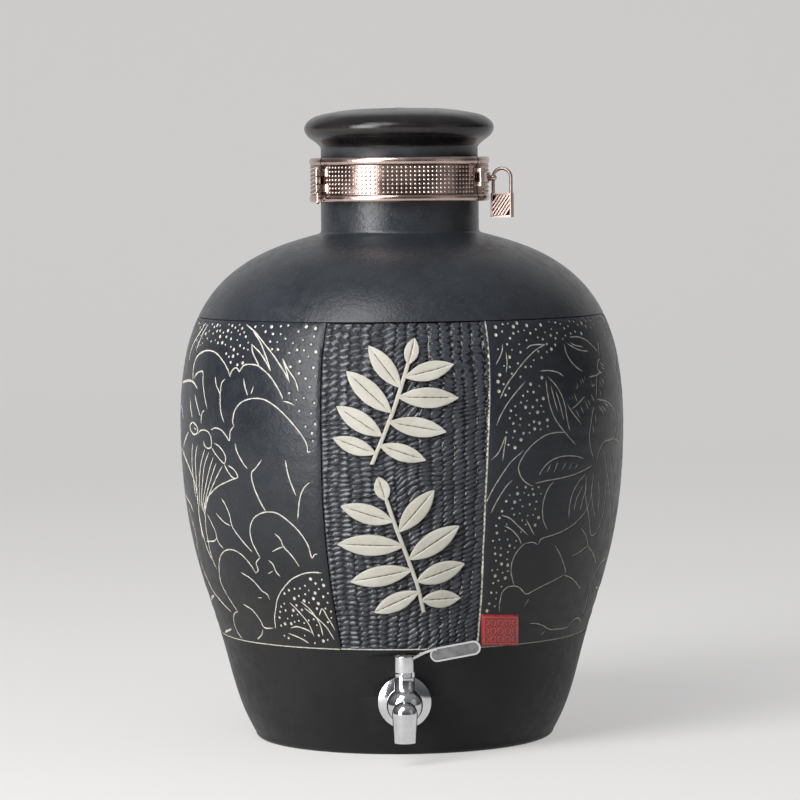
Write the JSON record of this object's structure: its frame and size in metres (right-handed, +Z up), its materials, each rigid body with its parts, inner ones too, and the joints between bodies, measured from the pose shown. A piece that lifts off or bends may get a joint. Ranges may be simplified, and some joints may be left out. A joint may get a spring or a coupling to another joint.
{
  "type": "lidded drinks jar with tap",
  "caption": "Dark glazed clay drinks jar with a stopper lid, hinged locking hoop, small padlock and lever tap.",
  "frame": {"origin": "middle of the pot's flat foot, on the surface it stands on", "axes": "+Z up along the pot's axis of turning, -Y towards the tap and the carved front, +X towards the padlock"},
  "size_m": [0.2658, 0.273, 0.377],
  "materials": {
    "pot_clay": "satin slate-black slip over stoneware, faintly pebbled, carved lines left pale",
    "leaf_slip": "matt cream slip on the raised leaves",
    "seal_enamel": "red enamel on a small raised tablet",
    "lid_glaze": "glossy black glaze, brown where it thins on the rim",
    "silicone": "matt translucent white silicone",
    "black_rubber": "matt black rubber",
    "antique_copper": "rose copper plate, rubbed bright on the high points and dark in the grooves",
    "copper_bright": "rubbed rose copper plate",
    "brass_barrel": "plain turned brass",
    "stainless": "polished stainless steel"
  },
  "bodies": {
    "root": {"pot_body": "pot_clay", "upper_leaf_sprig": "leaf_slip", "lower_leaf_sprig": "leaf_slip", "seal_tablet": "seal_enamel", "rear_band": "antique_copper", "rear_band_liner": "black_rubber", "hinge_pin": "copper_bright", "clasp_catch": "copper_bright", "tap_body": "stainless", "tap_escutcheon": "stainless", "tap_outer_washer": "silicone", "tap_inner_washer": "silicone", "tap_metal_washer": "stainless", "tap_lock_nut": "stainless"},
    "lid": {"lid": "lid_glaze", "lid_gasket": "silicone", "lid_seal_sleeve": "silicone"},
    "front_band": {"front_band": "antique_copper", "front_band_liner": "black_rubber", "clasp_pin": "copper_bright"},
    "clasp_link": {"clasp_link": "copper_bright", "clasp_eye": "copper_bright"},
    "padlock": {"padlock_case": "copper_bright", "padlock_cylinder": "brass_barrel", "padlock_face_plates": "copper_bright"},
    "shackle": {"padlock_shackle": "copper_bright"},
    "tap_valve": {"valve_plug": "stainless", "valve_o_rings": "black_rubber", "tap_lever": "stainless", "lever_screw": "stainless"}
  },
  "joints": [
    {"name": "lid_lift", "type": "slide", "parent": "root", "child": "lid", "axis": [0, 0, 1], "range_m": [0, 0.08]},
    {"name": "hoop_hinge", "type": "hinge", "parent": "root", "child": "front_band", "pos_m": [-0.04858, -0.02805, 0.334], "axis": [0, 0, -1], "range_deg": [0, 100]},
    {"name": "clasp_hinge", "type": "hinge", "parent": "front_band", "child": "clasp_link", "pos_m": [0.04858, -0.02805, 0.335], "axis": [0, 0, -1], "range_deg": [0, 100]},
    {"name": "padlock_swivel", "type": "hinge", "parent": "clasp_link", "child": "padlock", "pos_m": [0.05585, -0.0111, 0.33], "axis": [0, 0, 1], "range_deg": [-70, 80]},
    {"name": "shackle_lift", "type": "slide", "parent": "padlock", "child": "shackle", "axis": [0, 0, 1], "range_m": [0, 0.005]},
    {"name": "tap_lever_turn", "type": "hinge", "parent": "root", "child": "tap_valve", "pos_m": [0, -0.1195, 0.05], "axis": [0, 0, 1], "range_deg": [-90, 0]}
  ]
}
